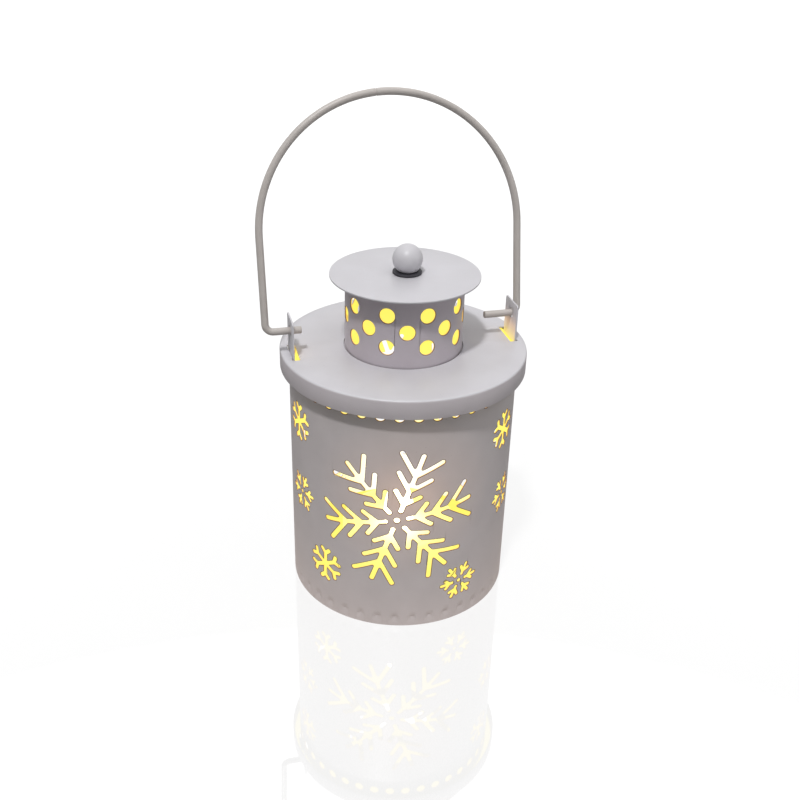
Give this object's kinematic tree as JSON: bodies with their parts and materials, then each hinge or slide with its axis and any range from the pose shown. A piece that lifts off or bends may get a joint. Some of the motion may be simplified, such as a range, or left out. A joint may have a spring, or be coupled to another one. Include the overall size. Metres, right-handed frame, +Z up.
{
  "type": "led lantern",
  "caption": "Cylindrical tin lantern with snowflake cut-outs, a lift-off lid with a perforated chimney, a wire bail and a battery tea light inside.",
  "frame": {"origin": "middle of the flat underside of the base plate", "axes": "+Z up through the lantern's axis, X along the bail's pivots, -Y towards the front with the large snowflake"},
  "size_m": [0.0807, 0.0754, 0.155],
  "materials": {
    "grey_paint": "satin light grey paint on tin",
    "steel": "plain bright metal",
    "dark_rubber": "matte black",
    "ivory_plastic": "wax-look ivory plastic",
    "glowing_plastic": "translucent plastic lit warm yellow from inside",
    "white_plastic": "plain white moulded plastic",
    "board_green": "green circuit board"
  },
  "bodies": {
    "body": {"body_shell": "grey_paint", "base_plate": "grey_paint"},
    "lid": {"lid": "grey_paint", "collar": "grey_paint", "hat": "grey_paint", "knob_washer": "dark_rubber", "knob": "grey_paint", "knob_screw": "steel", "ear_right": "grey_paint", "ear_left": "grey_paint"},
    "bail": {"bail": "grey_paint"},
    "tea_light": {"tea_light_cup": "white_plastic", "tea_light_base": "white_plastic", "wax_top": "ivory_plastic", "flame_lens": "glowing_plastic", "led": "glowing_plastic", "circuit_board": "board_green", "resistor": "ivory_plastic", "coin_cell": "steel", "positive_contact": "steel", "negative_contact": "steel"},
    "switch": {"switch_slider": "dark_rubber"},
    "battery_cover": {"battery_cover": "white_plastic"}
  },
  "joints": [
    {"name": "lid_lift", "type": "slide", "parent": "body", "child": "lid", "axis": [0, 0, 1], "range_m": [0, 0.06]},
    {"name": "bail_swing", "type": "hinge", "parent": "lid", "child": "bail", "pos_m": [0, 0, 0.0886], "axis": [1, 0, 0], "range_deg": [-100, 124]},
    {"name": "tea_light_lift", "type": "slide", "parent": "body", "child": "tea_light", "axis": [0, 0, 1], "range_m": [0, 0.04]},
    {"name": "switch_slide", "type": "slide", "parent": "tea_light", "child": "switch", "axis": [0, 1, 0], "range_m": [-0.0025, 0]},
    {"name": "battery_cover_turn", "type": "hinge", "parent": "tea_light", "child": "battery_cover", "pos_m": [0, 0, 0.0005], "axis": [0, 0, 1], "range_deg": [-30, 0]}
  ]
}
